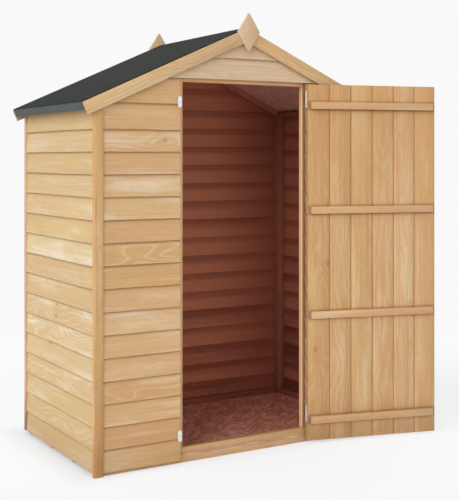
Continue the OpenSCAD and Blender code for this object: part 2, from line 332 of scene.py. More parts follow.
@dataclass(frozen=True)
class WoodFinish:
    """Sawn softwood under a clear honey treatment, red-brown where it looks into the room."""

    name: str
    slot: str
    pale: Colour
    honey: Colour
    amber: Colour
    dark: Colour = shade(128, 76, 40)
    blush: Colour = shade(226, 176, 142)
    straw: Colour = shade(230, 199, 136)
    room_light: Colour = shade(190, 116, 88)
    room_dark: Colour = shade(124, 63, 47)
    room_shade_rise: float = 0.0
    corner_shade: float = 0.0
    tone_reach: float = 0.8
    blush_share: float = 0.3
    straw_share: float = 0.3
    pale_share: float = 0.75
    streaks: float = 0.35
    figure: float = 0.6
    knot_share: float = 0.02
    lap_shadow: float = 0.45
    foot_shade: float = 0.4
    eaves_shade: float = 0.0
    low_shade: float = 0.0
    low_reach: float = 0.55
    end_grain_and_shade: float = 0.25
    ledges: tuple[float, ...] = ()
    ledge_reach: tuple[float, float] = (0.03, 0.016)
    foot_height: float = 0.24
    eaves_reach: tuple[float, float] = (0.9, 1.55)
    corner_reach: tuple[float, float] = (0.25, 0.75)
    room_level: float = 0.8
    relief: float = 0.7 * MM

    def make(self) -> bpy.types.Material:
        """Builds the material from the grain map and the board attribute.

        Returns:
            The finished material.
        """
        paint, made = Painter.material(self.name)
        along, across, _ = paint.parts(paint.node("ShaderNodeUVMap", {"uv_map": "grain"}))
        tone, end, room = paint.parts(paint.attribute("board", "Vector"))
        rise, inner = paint.attribute("rise"), paint.attribute("inner")
        side, _, height = paint.place()

        def grain(length: float, width: float, layer: Any, detail: float, roughness: float) -> Value:
            """Gives noise that is drawn out along the board."""
            return paint.noise(paint.vector(along * length, across * width, layer), detail, roughness)

        spots = paint.cells(paint.vector(along * 5.0, across * 9.0))
        chosen = paint.parts(spots.other("Color"))[0] < self.knot_share
        knot, halo = spots.smooth(0.1, 0.03) * chosen, spots.smooth(0.5, 0.05) * chosen
        swirl = grain(2.6, 10.0, tone * 7.0, 1.0, 0.4)
        growth = (swirl * 9.0 + across * 34.0 + halo * 0.7).wave()
        shown = (tone * 5.0).wave().smooth(0.55, 0.95) * self.figure
        rings = growth.smooth(0.45, 1.0) * shown
        streak = grain(1.3, 46.0, 3.0, 3.0, 0.6)
        line = grain(2.4, 150.0, 18.0, 2.0, 0.6)
        fibre = grain(9.0, 330.0, 6.0, 3.0, 0.65)
        fibres = fibre.smooth(0.5, 0.8) * 0.2
        patch = grain(1.9, 12.0, 9.0, 3.0, 0.5)
        drift = grain(1.2, 6.0, 15.0, 2.0, 0.5)
        mottle = grain(26.0, 70.0, 12.0, 3.0, 0.6)

        colour = paint.coats(self.honey, [
            # Tone of the board, with broad drifts and patches
            (tone * self.tone_reach, self.amber),
            ((tone * 9.0).wave() * self.blush_share, self.blush),
            (drift.smooth(0.46, 0.72) * self.straw_share, self.straw),
            (drift.smooth(0.5, 0.26) * self.blush_share, self.blush),
            ((patch - tone * 0.12).smooth(0.41, 0.67) * self.pale_share, self.pale),
            # Streaks, growth rings, lines, mottling and fibres along the grain
            (streak.smooth(0.52, 0.76) * self.streaks, self.amber),
            (streak.smooth(0.46, 0.26) * self.streaks, self.pale),
            (rings * 0.6, self.amber),
            (growth.smooth(0.14, 0.0) * shown * 0.5, self.pale),
            (line.smooth(0.52, 0.74) * 0.4, self.amber),
            (line.smooth(0.46, 0.28) * 0.22, self.pale),
            (mottle.smooth(0.5, 0.8) * 0.38, self.amber),
            (mottle.smooth(0.48, 0.2) * 0.14, self.pale),
            (fibres, self.dark),
            # Knots and darker end grain, the end grain darker still as painted shade on the bearers' and front
            # boards' ends
            (halo * 0.3, self.amber),
            (knot * 0.4, self.dark),
            (end * self.end_grain_and_shade, self.dark),
            # Painted shade and shadow, and dust beside the ledges
            # Painted shade at the foot, near the ground
            (height.smooth(self.foot_height, 0.0) * self.foot_shade, self.dark),
            # Painted shade under the eaves, more amber towards the top
            (height.smooth(*self.eaves_reach) * self.eaves_shade, self.amber),
            # Painted shade near the ground, more amber towards the foot
            (height.smooth(self.low_reach, 0.0) * self.low_shade, self.amber),
            # Painted shade and dust in bands above and below each ledge, on the ledged face
            *[(abs(height - middle).smooth(*self.ledge_reach) * inner * 0.5, self.dark)
              for middle in self.ledges],
            # Painted shadow under each lap, at the top of the board below it
            (rise.smooth(0.6, 1.0) * self.lap_shadow * 0.4, self.amber),
            (rise.smooth(0.86, 1.0) * (0.5 + patch) * self.lap_shadow, self.dark),
            # Painted shade and painted highlights on chosen faces
            (room.smooth(0.0, Exposure.SHADED.value) * 0.75, self.dark),
            (room.smooth(0.0, Exposure.PAINTED_HIGHLIGHT.value) * 0.8, self.pale),
        ])
        # Painted shade indoors: darker under each lap, towards the foot and towards the back corners, over the
        # boards' own tone
        depth = room - Exposure.INDOORS.value + rise.smooth(0.3, 1.1) * 0.4
        for pattern, share in ((streak, 0.7), (mottle, 0.5), (tone, 0.4), (drift, 0.6)):
            depth = depth + (pattern - 0.5) * share
        depth = depth - (height - self.room_level) * self.room_shade_rise
        stain = paint.coats(self.room_light, [(share, self.room_dark) for share in (
            depth.smooth(0.0, 1.0), rise.smooth(0.7, 1.0) * 0.45,
            abs(side).smooth(*self.corner_reach) * self.corner_shade, knot * 0.5 + fibres)])
        indoors = room.smooth(0.2, 0.4)
        colour = paint.mix(indoors, colour, stain)
        height_map = fibre * 0.6 + rings * 0.4 - knot * 0.3
        paint.surface(colour, 0.6 + fibre * 0.16 + indoors * 0.1, height_map, self.relief, 0.3)
        return made


@dataclass(frozen=True)
class StrandFinish:
    """Pressed strand board: flat flakes laid every way, red-brown in the room and pale at a cut edge."""

    name: str
    slot: str
    dark: Colour
    light: Colour
    edge_dark: Colour
    edge_light: Colour
    fine: float
    room: tuple[float, float, float] = ROOM
    # Turn of each layer of flakes, and its flakes to a metre along and across
    layers: tuple[tuple[float, float, float], ...] = (
        (0.25, 9.0, 62.0), (1.35, 11.0, 74.0), (2.45, 8.0, 52.0))
    relief: float = 0.4 * MM

    def make(self) -> bpy.types.Material:
        """Builds the material from three layers of turned flakes.

        Returns:
            The finished material.
        """
        paint, made = Painter.material(self.name)
        spot = paint.node("ShaderNodeTexCoord", None, None, "Object")
        side, back, up = paint.parts(spot)
        flake: Optional[Value] = None
        for turn, length, width in self.layers:
            turned = paint.node("ShaderNodeMapping", None, {"Vector": spot, "Rotation": (0.0, 0.0, turn)})
            one, two, _ = paint.parts(turned)
            wander = paint.noise(paint.vector(one * 6.0, two * 6.0, turn), 1.0)
            cells = paint.cells(paint.vector(one * length * self.fine + wander,
                                             two * width * self.fine + wander * 3.0))
            random_tone, lie, _ = paint.parts(cells.other("Color"))
            layer = random_tone + paint.noise(paint.vector(one * 20.0, two * 420.0, turn), 2.0) * 0.35 - 0.17
            if flake is None:
                flake = layer
            else:
                over = lie > 0.5
                flake = flake * (1.0 - over) + layer * over
        cloud = paint.noise(paint.vector(side * 9.0, back * 9.0, 4.0), 2.0)
        colour = paint.mix((flake + (cloud - 0.5) * 1.1).smooth(0.2, 1.05), self.dark, self.light)
        half, front, rear = self.room
        outside = 1.0 - (half > abs(side)) * (back > front) * (rear > back)
        edge = paint.noise(paint.vector(side * 10.0, back * 10.0, up * 260.0), 3.0)
        pale = paint.mix(edge.smooth(0.42, 0.68), self.edge_dark, self.edge_light)
        colour = paint.mix(outside, colour, pale)
        paint.surface(colour, 0.62 + flake * 0.12, flake, self.relief, 0.25)
        return made


@dataclass(frozen=True)
class FeltFinish:
    """Green-grey mineral roof felt, paler where it folds down at the eaves."""

    name: str
    slot: str
    dark: Colour
    light: Colour
    fold: Colour
    fold_x: float
    ridge: float
    slope: float = math.tan(PITCH)
    fold_edge: tuple[float, float] = (3.0 * MM, 6.0 * MM)
    relief: float = 0.8 * MM

    def make(self) -> bpy.types.Material:
        """Builds the material from fine granules and broad mottling.

        Returns:
            The finished material.
        """
        paint, made = Painter.material(self.name)
        side, _, up = paint.place()
        grit = paint.noise(paint.scaled(520.0), 2.0, 0.7)
        grains = paint.cells(paint.scaled(380.0), False)
        cloud = paint.noise(paint.scaled(7.0), 3.0)
        colour = paint.mix(grit.smooth(0.35, 0.75) * 0.8 + cloud * 0.3 - 0.1, self.dark, self.light)
        below = self.ridge - abs(side) * self.slope - up
        fold = below.smooth(*self.fold_edge) * (abs(side) > self.fold_x)
        colour = paint.mix(fold * (0.55 + cloud * 0.6), colour, self.fold)
        paint.surface(colour, 0.86 + grit * 0.1, grit * 0.6 + grains * 0.5, self.relief, 0.6, gloss=0.08)
        return made


@dataclass(frozen=True)
class ZincFinish:
    """Bright zinc plate with a faint spangle."""

    name: str
    slot: str
    dark: Colour
    light: Colour
    metal: float = 0.75
    relief: float = 0.15 * MM

    def make(self) -> bpy.types.Material:
        """Builds the material from scattered crystals and fine brushing.

        Returns:
            The finished material.
        """
        paint, made = Painter.material(self.name)
        side, back, up = paint.place()
        crystals = paint.cells(paint.scaled(260.0), False)
        spangle = paint.parts(crystals.other("Color"))[0]
        brush = paint.noise(paint.vector(side * 900.0, back * 900.0, up * 120.0), 2.0)
        colour = paint.mix(spangle * 0.7 + brush * 0.3, self.dark, self.light)
        paint.surface(colour, 0.32 + spangle * 0.14, brush, self.relief, 0.15, self.metal)
        return made


@dataclass(frozen=True)
class Finishes:
    """All finishes of the shed, each made once."""

    made: dict[str, bpy.types.Material] = field(default_factory=dict)

    # The side boards are yellower than the front boards: partly their own tone, partly painted light from the
    # left
    side_boards = WoodFinish(
        "side_boards", "cladding_wood", shade(236, 224, 200), shade(222, 198, 154), shade(201, 166, 112),
        room_dark=shade(112, 57, 43), room_shade_rise=0.8, blush_share=0.16, straw_share=0.4, eaves_shade=0.62,
        low_shade=0.33)
    # Its indoor colours are paler than the side boards': painted light where the doorway shows the back wall;
    # corner_shade is painted shade towards its corners
    back_boards = replace(
        side_boards, name="back_boards", room_light=shade(224, 144, 108), room_dark=shade(150, 81, 61),
        room_shade_rise=0.35, corner_shade=0.78, eaves_shade=0.0, low_shade=0.35)
    front_boards = WoodFinish(
        "front_boards", "cladding_wood", shade(247, 225, 194), shade(231, 193, 142), shade(213, 163, 104),
        pale_share=0.8, foot_shade=0.32, lap_shadow=0.5, eaves_shade=0.25, low_shade=0.34, low_reach=0.9,
        end_grain_and_shade=0.7)
    gable_boards = WoodFinish(
        "gable_boards", "cladding_wood", shade(243, 230, 209), shade(231, 206, 173), shade(214, 177, 137),
        figure=0.4, blush_share=0.2, straw_share=0.15, streaks=0.55)
    trim = WoodFinish(
        "trim_timber", "trim_wood", shade(232, 199, 150), shade(217, 173, 116), shade(190, 134, 70),
        figure=0.9, streaks=0.6, knot_share=0.08, foot_shade=0.3, low_shade=0.3, low_reach=0.25)
    back_trim = WoodFinish(
        "back_trim_timber", "trim_wood", shade(224, 202, 170), shade(208, 180, 144), shade(188, 152, 112),
        figure=0.3, foot_shade=0.75)
    roof_trim = WoodFinish(
        "roof_trim_timber", "trim_wood", shade(234, 210, 172), shade(223, 186, 134), shade(207, 160, 104))
    finial = WoodFinish(
        "finial_timber", "trim_wood", shade(238, 217, 188), shade(226, 195, 156), shade(210, 168, 124),
        figure=0.3)
    frame_timber = WoodFinish(
        "frame_timber", "frame_wood", shade(238, 206, 172), shade(228, 188, 148), shade(208, 158, 112),
        room_light=shade(172, 105, 80), room_dark=shade(108, 55, 41), room_shade_rise=0.4, figure=0.2)
    # Its indoor colours are paler than the frame timber's: painted light high in the room
    rafter_timber = replace(
        frame_timber, name="rafter_timber", room_light=shade(222, 142, 110), room_dark=shade(170, 98, 75),
        room_shade_rise=0.0)
    post_timber = WoodFinish(
        "post_timber", "frame_wood", shade(245, 198, 156), shade(234, 181, 135), shade(212, 152, 101),
        figure=0.2)
    bearer_timber = WoodFinish(
        "bearer_timber", "frame_wood", shade(228, 190, 148), shade(214, 170, 124), shade(190, 142, 96),
        dark=shade(76, 54, 40), figure=0.25, foot_shade=0.0, end_grain_and_shade=0.95)
    sill_timber = WoodFinish(
        "sill_timber", "frame_wood", shade(222, 180, 132), shade(208, 162, 112), shade(186, 138, 90),
        dark=shade(100, 66, 44), figure=0.25, foot_shade=0.08, end_grain_and_shade=0.85)
    door = WoodFinish(
        "door_timber", "door_wood", shade(226, 198, 154), shade(209, 169, 117), shade(195, 140, 86),
        figure=0.4, knot_share=0.035, tone_reach=0.4, streaks=0.6, foot_shade=0.3, eaves_shade=0.4)
    ledge = WoodFinish(
        "ledge_timber", "door_wood", shade(226, 197, 156), shade(213, 174, 126), shade(200, 148, 94),
        figure=0.2, tone_reach=0.5)
    floor_board = StrandFinish(
        "floor_strands", "strand_board", shade(188, 114, 92), shade(232, 174, 152),
        edge_dark=shade(190, 144, 108), edge_light=shade(232, 196, 164), fine=2.4)
    # Paler than the floor's strands: painted light on the underside of the roof
    roof_board = StrandFinish(
        "roof_strands", "strand_board", shade(248, 180, 154), shade(255, 220, 197),
        edge_dark=shade(190, 140, 100), edge_light=shade(226, 186, 140), fine=2.0)
    felt = FeltFinish(
        "mineral_felt", "roof_felt", shade(34, 36, 34), shade(66, 69, 66), fold=shade(97, 102, 98),
        fold_x=0.774, ridge=1.917)
    zinc = ZincFinish("bright_zinc", "zinc", shade(196, 196, 192), shade(240, 240, 236))
    white_zinc = ZincFinish("white_zinc", "zinc", shade(238, 238, 234), shade(252, 252, 250), metal=0.2)
    nail = ZincFinish("dull_nails", "zinc", shade(112, 92, 70), shade(150, 128, 102))

    def give(self, piece: bpy.types.Object, finish: Any) -> None:
        """Puts a finish on a piece.

        Args:
            piece: The piece, or a node of the frame.
            finish: One of the finishes above.
        """
        if finish.name not in self.made:
            self.made[finish.name] = finish.make()
        piece.data.materials.clear()
        piece.data.materials.append(self.made[finish.name])


class Bench:
    """The few hand operations that every piece is made with."""

    WELD: float = 0.01 * MM
    FLAT: float = math.radians(1)
    SHARP: float = math.radians(25)
    SOFT: float = math.radians(35)

    @staticmethod
    def only(piece: bpy.types.Object) -> None:
        """Selects one object alone and makes it active.

        Args:
            piece: The object.
        """
        bpy.ops.object.select_all(action="DESELECT")
        piece.select_set(True)
        bpy.context.view_layer.objects.active = piece

    @classmethod
    def settle(cls, piece: bpy.types.Object, turn: Optional[Matrix] = None) -> None:
        """Moves a piece's place into its mesh.

        Args:
            piece: The piece to settle.
            turn: Where it is put first.
        """
        if turn is not None:
            piece.matrix_world = turn
        cls.only(piece)
        bpy.ops.object.transform_apply(location=True, rotation=True, scale=True)

    @classmethod
    def block(cls, name: str, low: Sequence[float], high: Sequence[float]) -> bpy.types.Object:
        """Adds a block between two corners.

        Args:
            name: The object's name.
            low: Lowest corner.
            high: Highest corner.

        Returns:
            The block, with its place in its mesh.
        """
        bpy.ops.object.select_all(action="DESELECT")
        middle = [(a + b) / 2 for a, b in zip(low, high)]
        size = [b - a for a, b in zip(low, high)]
        bpy.ops.mesh.primitive_cube_add(size=1.0, location=middle, scale=size)
        piece = bpy.context.object
        piece.name = name
        cls.settle(piece)
        return piece

    @classmethod
    def choose(cls, piece: bpy.types.Object, test: Callable[[Vector, Vector], bool]) -> None:
        """Enters edit mode with only some edges selected.

        Args:
            piece: The piece to edit.
            test: Says of an edge's two ends whether it is chosen.
        """
        cls.only(piece)
        bpy.ops.object.mode_set(mode="EDIT")
        bpy.ops.mesh.select_mode(type="EDGE")
        bpy.ops.mesh.select_all(action="DESELECT")
        bpy.ops.object.mode_set(mode="OBJECT")
        points = piece.data.vertices
        for edge in piece.data.edges:
            edge.select = test(points[edge.vertices[0]].co, points[edge.vertices[1]].co)
        bpy.ops.object.mode_set(mode="EDIT")

    @classmethod
    def slice(cls, piece: bpy.types.Object, point: Sequence[float], normal: Sequence[float],
              part: bool = False) -> None:
        """Cuts a piece along a plane.

        Args:
            piece: The piece to cut.
            point: A point of the plane.
            normal: The plane's normal.
            part: Take off what lies on the normal's side and close the cut.
        """
        cls.only(piece)
        bpy.ops.object.mode_set(mode="EDIT")
        bpy.ops.mesh.select_all(action="SELECT")
        bpy.ops.mesh.bisect(plane_co=point, plane_no=normal, use_fill=part, clear_outer=part)
        bpy.ops.object.mode_set(mode="OBJECT")

    @classmethod
    def apply(cls, piece: bpy.types.Object, kind: str, **settings: Any) -> None:
        """Adds a modifier and applies it.

        Args:
            piece: The piece to change.
            kind: The modifier's type.
            **settings: Its settings.
        """
        cls.only(piece)
        modifier = piece.modifiers.new(kind.title(), kind)
        for key, setting in settings.items():
            setattr(modifier, key, setting)
        bpy.ops.object.modifier_apply(modifier=modifier.name)

    @classmethod
    def arris(cls, piece: bpy.types.Object, width: float, segments: int = 2) -> None:
        """Rounds all sharp edges and smooths the rounding.

        Args:
            piece: The piece to round.
            width: Width of the rounding.
            segments: Steps of the rounding.
        """
        cls.apply(piece, "BEVEL", width=width, segments=segments, limit_method="ANGLE",
                  angle_limit=cls.SHARP, harden_normals=False)
        cls.smooth(piece)

    @classmethod
    def smooth(cls, piece: bpy.types.Object, angle: float = SOFT) -> None:
        """Smooths the shading over edges that are less sharp than an angle."""
        cls.only(piece)
        bpy.ops.object.shade_smooth_by_angle(angle=angle)

    @classmethod
    def ripple(cls, piece: bpy.types.Object, group: str, size: float, reach: float,
               middle: float = 0.5, layers: int = 1) -> None:
        """Lifts and lowers some points in soft waves.

        Args:
            piece: The piece to change.
            group: Vertex group of the points.
            size: Size of the waves.
            reach: Height of the waves.
            middle: Level of the waves that stays in place, 0 to 1.
            layers: How many finer layers the waves have.
        """
        waves = bpy.data.textures.new(f"{piece.name}_waves", "CLOUDS")
        waves.noise_scale = size
        waves.noise_depth = layers
        cls.apply(piece, "DISPLACE", texture=waves, direction="Z", strength=reach, mid_level=middle,
                  texture_coords="LOCAL", vertex_group=group)
        bpy.data.textures.remove(waves)

    @classmethod
    def trace(cls, node: str, name: str) -> bpy.types.Object:
        """Copies a node of the frame as a clean solid.

        Args:
            node: The node's name.
            name: The new piece's name.

        Returns:
            The copy, with doubles merged and flat faces whole.
        """
        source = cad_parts[node]
        piece = source.copy()
        piece.data = source.data.copy()
        piece.name = name
        piece.parent = None
        bpy.context.scene.collection.objects.link(piece)
        piece.matrix_world = Matrix.Identity(4)
        cls.only(piece)
        bpy.ops.object.mode_set(mode="EDIT")
        bpy.ops.mesh.select_all(action="SELECT")
        bpy.ops.mesh.remove_doubles(threshold=cls.WELD)
        bpy.ops.mesh.dissolve_limited(angle_limit=cls.FLAT)
        bpy.ops.object.mode_set(mode="OBJECT")
        for layer in list(piece.data.uv_layers):
            piece.data.uv_layers.remove(layer)
        return piece

    @classmethod
    def gather(cls, name: str, pieces: Sequence[bpy.types.Object]) -> bpy.types.Object:
        """Joins pieces into one object with its place in its mesh.

        Args:
            name: The joined object's name.
            pieces: What is joined.

        Returns:
            The joined object.
        """
        bpy.ops.object.select_all(action="DESELECT")
        for piece in pieces:
            piece.select_set(True)
        bpy.context.view_layer.objects.active = pieces[0]
        if len(pieces) > 1:
            bpy.ops.object.join()
        joined = bpy.context.view_layer.objects.active
        joined.name = name
        cls.settle(joined)
        return joined

    @staticmethod
    def copy(piece: bpy.types.Object, place: Sequence[float]) -> bpy.types.Object:
        """Copies a piece with a mesh of its own.

        Args:
            piece: What is copied.
            place: Where the copy goes.

        Returns:
            The copy.
        """
        twin = piece.copy()
        twin.data = piece.data.copy()
        twin.location = place
        bpy.context.scene.collection.objects.link(twin)
        return twin

    @staticmethod
    def bin(pieces: Sequence[bpy.types.Object]) -> None:
        """Removes models that have been copied."""
        for piece in pieces:
            bpy.data.objects.remove(piece, do_unlink=True)


class Grain:
    """Lays the grain map and the board attribute on wooden pieces."""

    END_LEAN: float = 0.7
    SPREAD: float = 40.0
    FACE_SHIFT: tuple[float, float] = (2.3, 3.1)

    def __init__(self, seed: int) -> None:
        """Starts the run of board tones."""
        self.random = random.Random(seed)

    def lay(self, piece: bpy.types.Object, along: Vector, across: Vector,
            indoors: Union[float, Indoors] = 0.0, lapped: bool = False) -> None:
        """Maps each board along its grain, and gives it a tone of its own.

        Args:
            piece: The wooden piece, of one board or many.
            along: Direction of the grain.
            across: Direction across the board's wide face.
            indoors: How far it looks into the room, its painted shade or painted highlight, or a rule that says
                so of points and normals.
            lapped: The piece is lapped boards, one above the other.
        """
        mesh = piece.data
        points = self._read(mesh.vertices, "co", 3)
        board = self._boards(len(points), self._read(mesh.edges, "vertices", 2, int))
        corner = self._read(mesh.loops, "vertex_index", 1, int)[:, 0]
        totals = self._read(mesh.polygons, "loop_total", 1, int)[:, 0]
        normal = np.repeat(self._read(mesh.polygons, "normal", 3), totals, axis=0)
        place = points[corner]

        axis, wide = np.array(along.normalized()), np.array(across.normalized())
        thick = np.cross(axis, wide)
        lean_wide, lean_thick = normal @ wide, normal @ thick
        end = np.abs(normal @ axis) > self.END_LEAN
        flat = np.abs(lean_thick) >= np.abs(lean_wide)
        u = np.where(end, place @ thick, place @ axis)
        v = np.where(end | flat, place @ wide, place @ thick)
        tones = np.array([[self.random.random(), self.random.uniform(0, self.SPREAD),
                           self.random.uniform(0, self.SPREAD)] for _ in range(board.max() + 1)])[board[corner]]
        u += tones[:, 1] + self.FACE_SHIFT[0] * np.round(lean_thick)
        v += tones[:, 2] + self.FACE_SHIFT[1] * np.round(lean_wide)
        layer = mesh.uv_layers.new(name="grain")
        layer.data.foreach_set("uv", np.stack([u, v], axis=1).ravel())
        inside = indoors(place, normal) if callable(indoors) else np.full(len(corner), indoors)
        if lapped:
            foot = np.full(board.max() + 1, np.inf)
            np.minimum.at(foot, board, points @ wide)
            levels = np.sort(foot)
            above = np.append(levels[1:], (points @ wide).max())
            shown = above[np.searchsorted(levels, foot)] - foot
            rise = mesh.attributes.new("rise", "FLOAT", "CORNER")
            rise.data.foreach_set("value", (place @ wide - foot[board[corner]]) / shown[board[corner]])
        kept = mesh.attributes.new("board", "FLOAT_VECTOR", "CORNER")
        kept.data.foreach_set("vector", np.stack([tones[:, 0], end * 1.0, inside], axis=1).ravel())

    @staticmethod
    def _read(items: Any, key: str, width: int, kind: type = float) -> np.ndarray:
        """Reads one property of every item of a mesh.

        Args:
            items: The mesh's points, edges, faces or corners.
            key: The property's name.
            width: How many numbers it has.
            kind: Kind of number.

        Returns:
            One row for each item.
        """
        numbers = np.empty(len(items) * width, dtype=kind)
        items.foreach_get(key, numbers)
        return numbers.reshape(-1, width)

    @staticmethod
    def _boards(count: int, edges: np.ndarray) -> np.ndarray:
        """Numbers the separate boards of a mesh.

        Args:
            count: How many points the mesh has.
            edges: The two points of each edge.

        Returns:
            The number of the board that each point is on.
        """
        mark = np.arange(count)
        while True:
            least = np.minimum(mark[edges[:, 0]], mark[edges[:, 1]])
            new = mark.copy()
            np.minimum.at(new, edges[:, 0], least)
            np.minimum.at(new, edges[:, 1], least)
            new = new[new]
            if np.array_equal(new, mark):
                return np.unique(mark, return_inverse=True)[1]
            mark = new


@dataclass
class Assembly:
    """What every sub-assembly shares: the finishes, the grain and the way pieces are handed over."""

    finishes: Finishes
    grain: Grain

    @staticmethod
    def slope(side: str) -> Vector:
        """Gives the direction along one roof slope, left or right."""
        lean = PITCH if side == "left" else -PITCH
        return Vector((math.cos(lean), 0.0, math.sin(lean)))

    def hand_over(self, piece: bpy.types.Object, finish: Any, body: Body, nodes: Sequence[str] = ()) -> None:
        """Finishes a piece, sets it on its body and reports it.

        Args:
            piece: The new piece.
            finish: Its finish.
            body: The body it rides on.
            nodes: Nodes of the frame that it stands for.
        """
        self.finishes.give(piece, finish)
        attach(piece, body.value)
        if nodes:
            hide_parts(*nodes)
        LOG.info("%s: %d faces on %s", piece.name, len(piece.data.polygons), body.value)

    def timber(self, node: str, finish: WoodFinish, along: Vector, across: Vector, arris: float,
               indoors: Union[float, Indoors] = 0.0, body: Body = Body.SHED) -> bpy.types.Object:
        """Makes a planed timber in the place of a node.

        Args:
            node: The node it stands for.
            finish: Its finish.
            along: Direction of the grain.
            across: Direction across its wide face.
            arris: Rounding of its edges.
            indoors: How far it looks into the room, or its painted shade or painted highlight.
            body: The body it rides on.

        Returns:
            The timber.
        """
        piece = Bench.trace(node, node + "_timber")
        Bench.arris(piece, arris)
        self.grain.lay(piece, along, across, indoors)
        self.hand_over(piece, finish, body, (node,))
        return piece


@dataclass
class LapWall:
    """One face of lapped boards, drawn facing the front and then turned to its wall."""

    name: str
    nodes: tuple[str, ...]
    finish: WoodFinish
    start: float
    end: float
    edges: tuple[float, ...]
    turn: float
    face: tuple[float, float]
    studs: tuple[float, ...]
    apex: float = math.inf


@dataclass
class Cladding(Assembly):
    """The lapped boards of all four walls, with their nails."""

    board_t: float = 8 * MM
    course: float = 95.7 * MM
    lap: float = 14 * MM
    first: float = 15 * MM
    step: float = 26 * MM
    arris: float = 0.9 * MM
    # Size and height of the waves along the lower edges
    waves: tuple[tuple[float, float], ...] = ((0.42, 5.0 * MM), (0.09, 2.4 * MM))
    inner_lean: float = -0.3
    stud_half: float = 14 * MM
    wall_end: float = 35 * MM
    hinge_room: float = 6 * MM
    nail_r: float = 1.7 * MM
    nail_h: float = 0.9 * MM
    nail_sides: int = 8
    nail_round: float = 0.6
    nail_rise: float = 11 * MM
    nail_clear: float = 33 * MM

    def courses(self, low: float, top: float) -> tuple[float, ...]:
        """Sets out the lower edges of a wall's boards.

        Args:
            low: Lower edge of the first board.
            top: Top of the wall.

        Returns:
            The lower edges and the top.
        """
        full = math.floor((top - low - self.lap) / self.course)
        return tuple(low + k * self.course for k in range(full + 1)) + (top,)

    def fitted(self, low: float, top: float, first: bool) -> tuple[float, ...]:
        """Sets out even courses and two wider ones that share what is left.

        Args:
            low: Lower edge of the first board.
            top: Top of the wall.
            first: The first and the last board are the wider ones, not the last two.

        Returns:
            The lower edges and the top.
        """
        even = math.floor((top - low) / self.course) - 2
        wide = (top - low - even * self.course) / 2
        if first:
            return (low,) + tuple(low + wide + k * self.course for k in range(even + 1)) + (top,)
        return tuple(low + k * self.course for k in range(even + 1)) + (top - wide, top)

    def walls(self) -> list[LapWall]:
        """Reads each wall's place from the frame.

        Returns:
            The walls, front pieces first.
        """
        left, left_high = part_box("left_cladding")
        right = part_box("right_cladding")[0]
        back, back_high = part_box("back_cladding")
        beside, beside_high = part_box("front_left_cladding")
        other, other_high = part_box("front_right_cladding")
        gable, gable_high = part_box("front_gable_cladding")
        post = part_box("door_posts")[1].x - self.stud_half
        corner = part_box("front_corner_posts")[1].x - 2 * self.stud_half
        beside_edges = self.fitted(self.first, gable.z, False)
        gable_edges = self.courses(gable.z, gable_high.z)
        back_edges = self.fitted(self.first, gable.z, True) + gable_edges[1:]
        side_edges = self.courses(self.first, left_high.z)
        middle, half = (left.y + left_high.y) / 2, (left_high.y - left.y) / 2
        ends = (-half + self.wall_end, half - self.wall_end)
        front, sides = self.finishes.front_boards, self.finishes.side_boards
        face, apex = (0.0, beside_high.y), gable_high.z
        return [
            LapWall("front_left_boards", ("front_left_cladding",), front, beside.x, beside_high.x,
                    beside_edges, 0.0, face, (-corner, -post), apex),
            LapWall("front_right_boards", ("front_right_cladding",), front, other.x, other_high.x,
                    beside_edges, 0.0, face, (post + self.hinge_room, corner), apex),
            LapWall("front_gable_boards", ("front_gable_cladding",), self.finishes.gable_boards, gable.x,
                    gable_high.x, gable_edges, 0.0, face, (-post, 0.0, post), apex),
            LapWall("left_boards", ("left_cladding",), sides, -half, half, side_edges, -90.0,
                    (left_high.x, middle), ends),
            LapWall("right_boards", ("right_cladding",), sides, -half, half, side_edges, 90.0,
                    (right.x, middle), ends),
            LapWall("back_boards", ("back_cladding",), self.finishes.back_boards, back.x, back_high.x,
                    back_edges, 180.0, (0.0, back.y), (-corner, 0.0, corner), back_high.z),
        ]

    def board(self, wall: LapWall, height: float) -> bpy.types.Object:
        """Models one board of a wall, tilted on its lap.

        Args:
            wall: The wall it belongs to.
            height: The board's full height.

        Returns:
            The board, with its lower edge at height 0.
        """
        whole = self.course + self.lap
        seat = self.board_t * self.course / whole
        tilt = self.board_t * min(1.0, height / whole)
        outer = -2 * self.board_t
        piece = Bench.block("board", (wall.start, outer, 0.0), (wall.end, outer + seat, height))
        Bench.choose(piece, lambda a, b: a.z > height / 2 and b.z > height / 2)
        bpy.ops.transform.translate(value=(0.0, tilt, 0.0))
        bpy.ops.object.mode_set(mode="OBJECT")
        Bench.choose(piece, lambda a, b: abs(a.x - b.x) > self.step)
        bpy.ops.mesh.subdivide(number_cuts=max(2, round((wall.end - wall.start) / self.step)))
        bpy.ops.object.mode_set(mode="OBJECT")
        low = piece.vertex_groups.new(name="lower_edge")
        low.add([point.index for point in piece.data.vertices if point.co.z < height / 2], 1.0, "REPLACE")
        Bench.arris(piece, self.arris, 1)
        return piece

    def nail(self) -> bpy.types.Object:
        """Models one small round nail head, facing the front.

        Returns:
            The nail head, with its seat at the origin.
        """
        bpy.ops.object.select_all(action="DESELECT")
        bpy.ops.mesh.primitive_cylinder_add(vertices=self.nail_sides, radius=self.nail_r,
                                            depth=2 * self.nail_h, rotation=(math.pi / 2, 0.0, 0.0))
        piece = bpy.context.object
        Bench.settle(piece)
        Bench.choose(piece, lambda a, b: a.y < 0 and b.y < 0)
        bpy.ops.mesh.bevel(offset=self.nail_h * self.nail_round, segments=1)
        bpy.ops.object.mode_set(mode="OBJECT")
        return piece

    @staticmethod
    def cut_to_roof(board: bpy.types.Object, apex: float) -> None:
        """Cuts a board off along both roof slopes.

        Args:
            board: The board, at its height on the wall.
            apex: Height where the slopes meet.
        """
        Bench.settle(board)
        for side in (-1.0, 1.0):
            Bench.slice(board, (0.0, 0.0, apex), (side * math.sin(PITCH), 0.0, math.cos(PITCH)), True)

